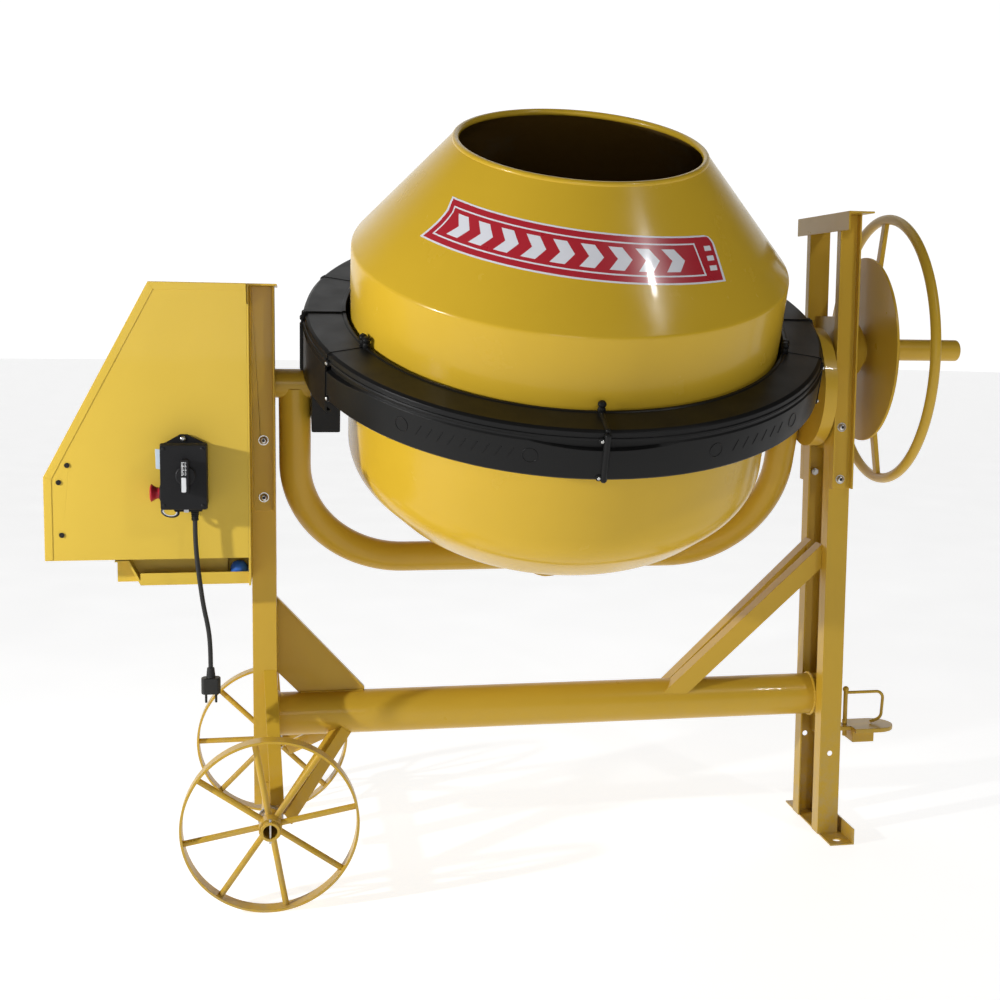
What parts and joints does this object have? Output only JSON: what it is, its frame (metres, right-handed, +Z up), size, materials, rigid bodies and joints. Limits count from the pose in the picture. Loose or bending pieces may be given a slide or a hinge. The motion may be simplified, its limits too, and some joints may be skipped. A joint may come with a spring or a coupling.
{
  "type": "concrete mixer",
  "caption": "Tilting-drum concrete mixer on a two-wheel steel frame, with crown-gear belt drive, gear guard, yoke and geared tilting handwheel.",
  "frame": {"origin": "centre of the foot angle's underside, on the ground, in the machine's mid-plane", "axes": "+X along the machine from the wheels to the foot and handwheel, -Y the side the drum empties to, +Z up"},
  "size_m": [1.951, 1.0449, 1.5972],
  "materials": {
    "yellow_paint": "satin ochre enamel",
    "drum_paint": "gloss ochre enamel",
    "housing_paint": "matt ochre sheet",
    "cast_iron": "rough, greased",
    "bare_steel": "turned",
    "zinc_fastener": "bright zinc",
    "black_screw": "black oxide",
    "black_plastic": "grained, slightly glossy",
    "box_plastic": "fine grain",
    "grip_plastic": "satin",
    "red_plastic": "gloss",
    "blue_plastic": "satin",
    "motor_paint": "satin blue",
    "black_rubber": "matt"
  },
  "bodies": {
    "frame": {"left_legs": "yellow_paint", "right_legs": "yellow_paint", "head_channels": "yellow_paint", "head_caps": "yellow_paint", "bearing_plates": "yellow_paint", "bearings": "bare_steel", "base_tube": "yellow_paint", "column_gusset": "yellow_paint", "tube_braces": "yellow_paint", "foot_angle": "yellow_paint", "axle_tube": "yellow_paint", "axle_pins": "zinc_fastener", "axle_braces": "yellow_paint", "frame_bolts": "zinc_fastener", "hitch_tongue": "yellow_paint", "drive_belt": "black_rubber", "motor_body": "motor_paint", "motor_fan_cowl": "box_plastic", "housing_front": "housing_paint", "housing_rear": "housing_paint", "housing_wrap": "housing_paint", "housing_backplate": "housing_paint", "housing_screws": "black_screw", "motor_tray": "yellow_paint", "tension_knob": "blue_plastic", "switch_box": "box_plastic", "switch_lid": "box_plastic", "cord_gland": "box_plastic", "cord": "black_rubber", "plug": "black_rubber"},
    "front_wheel": {"front_wheel": "yellow_paint"},
    "rear_wheel": {"rear_wheel": "yellow_paint"},
    "yoke": {"yoke_tube": "yellow_paint", "yoke_pivot": "yellow_paint", "drum_boss": "yellow_paint", "tilt_ring_gear": "yellow_paint", "guard_front": "black_plastic", "guard_rear": "black_plastic", "guard_left": "black_plastic", "guard_right": "black_plastic", "guard_brackets": "yellow_paint", "pinion_cover": "black_plastic"},
    "drum": {"drum_lower": "drum_paint", "drum_upper": "drum_paint", "drum_gear": "cast_iron", "drum_blades": "bare_steel", "drum_shaft": "bare_steel"},
    "drive": {"pinion": "cast_iron", "drive_shaft": "bare_steel", "drive_pulley": "cast_iron"},
    "motor_rotor": {"motor_pulley": "cast_iron"},
    "handwheel": {"handwheel_rim": "yellow_paint", "handwheel_spokes": "yellow_paint", "lock_disc": "yellow_paint", "handwheel_shaft": "yellow_paint", "tilt_pinion": "cast_iron"},
    "selector": {"selector_knob": "grip_plastic"},
    "stop": {"stop_button": "red_plastic"},
    "hitch_pin": {"hitch_pin": "yellow_paint"}
  },
  "joints": [
    {"name": "yoke_tilt", "type": "hinge", "parent": "frame", "child": "yoke", "pos_m": [-0.621, 0, 1.01], "axis": [1, 0, 0], "range_deg": [-142, 98]},
    {"name": "drum_spin", "type": "hinge", "parent": "yoke", "child": "drum", "pos_m": [-0.621, 0, 1.01], "axis": [0, -0.3762, 0.9265], "continuous": true},
    {"name": "drive_turn", "type": "hinge", "parent": "yoke", "child": "drive", "pos_m": [-1.235, 0, 1.01], "axis": [1, 0, 0], "continuous": true},
    {"name": "motor_turn", "type": "hinge", "parent": "frame", "child": "motor_rotor", "pos_m": [-1.327, 0, 0.76], "axis": [1, 0, 0], "continuous": true},
    {"name": "handwheel_turn", "type": "hinge", "parent": "frame", "child": "handwheel", "pos_m": [0.113, 0, 1.094], "axis": [1, 0, 0], "range_deg": [-640, 442]},
    {"name": "front_wheel_spin", "type": "hinge", "parent": "frame", "child": "front_wheel", "pos_m": [-1.235, -0.3, 0.17], "axis": [0, 1, 0], "continuous": true},
    {"name": "rear_wheel_spin", "type": "hinge", "parent": "frame", "child": "rear_wheel", "pos_m": [-1.235, 0.3, 0.17], "axis": [0, 1, 0], "continuous": true},
    {"name": "selector_turn", "type": "hinge", "parent": "frame", "child": "selector", "pos_m": [-1.388, -0.239, 0.845], "axis": [0, 1, 0], "range_deg": [0, 60]},
    {"name": "stop_press", "type": "slide", "parent": "frame", "child": "stop", "axis": [1, 0, 0], "range_m": [0, 0.004], "stiffness_N_per_m": 800},
    {"name": "hitch_pin_lift", "type": "slide", "parent": "frame", "child": "hitch_pin", "axis": [0, 0, 1], "range_m": [0, 0.03]}
  ],
  "couplings": [
    {"joint": "drive_turn", "follows": "drum_spin", "ratio": 8.4},
    {"joint": "motor_turn", "follows": "drum_spin", "ratio": 50.573},
    {"joint": "handwheel_turn", "follows": "yoke_tilt", "ratio": 4.5}
  ]
}
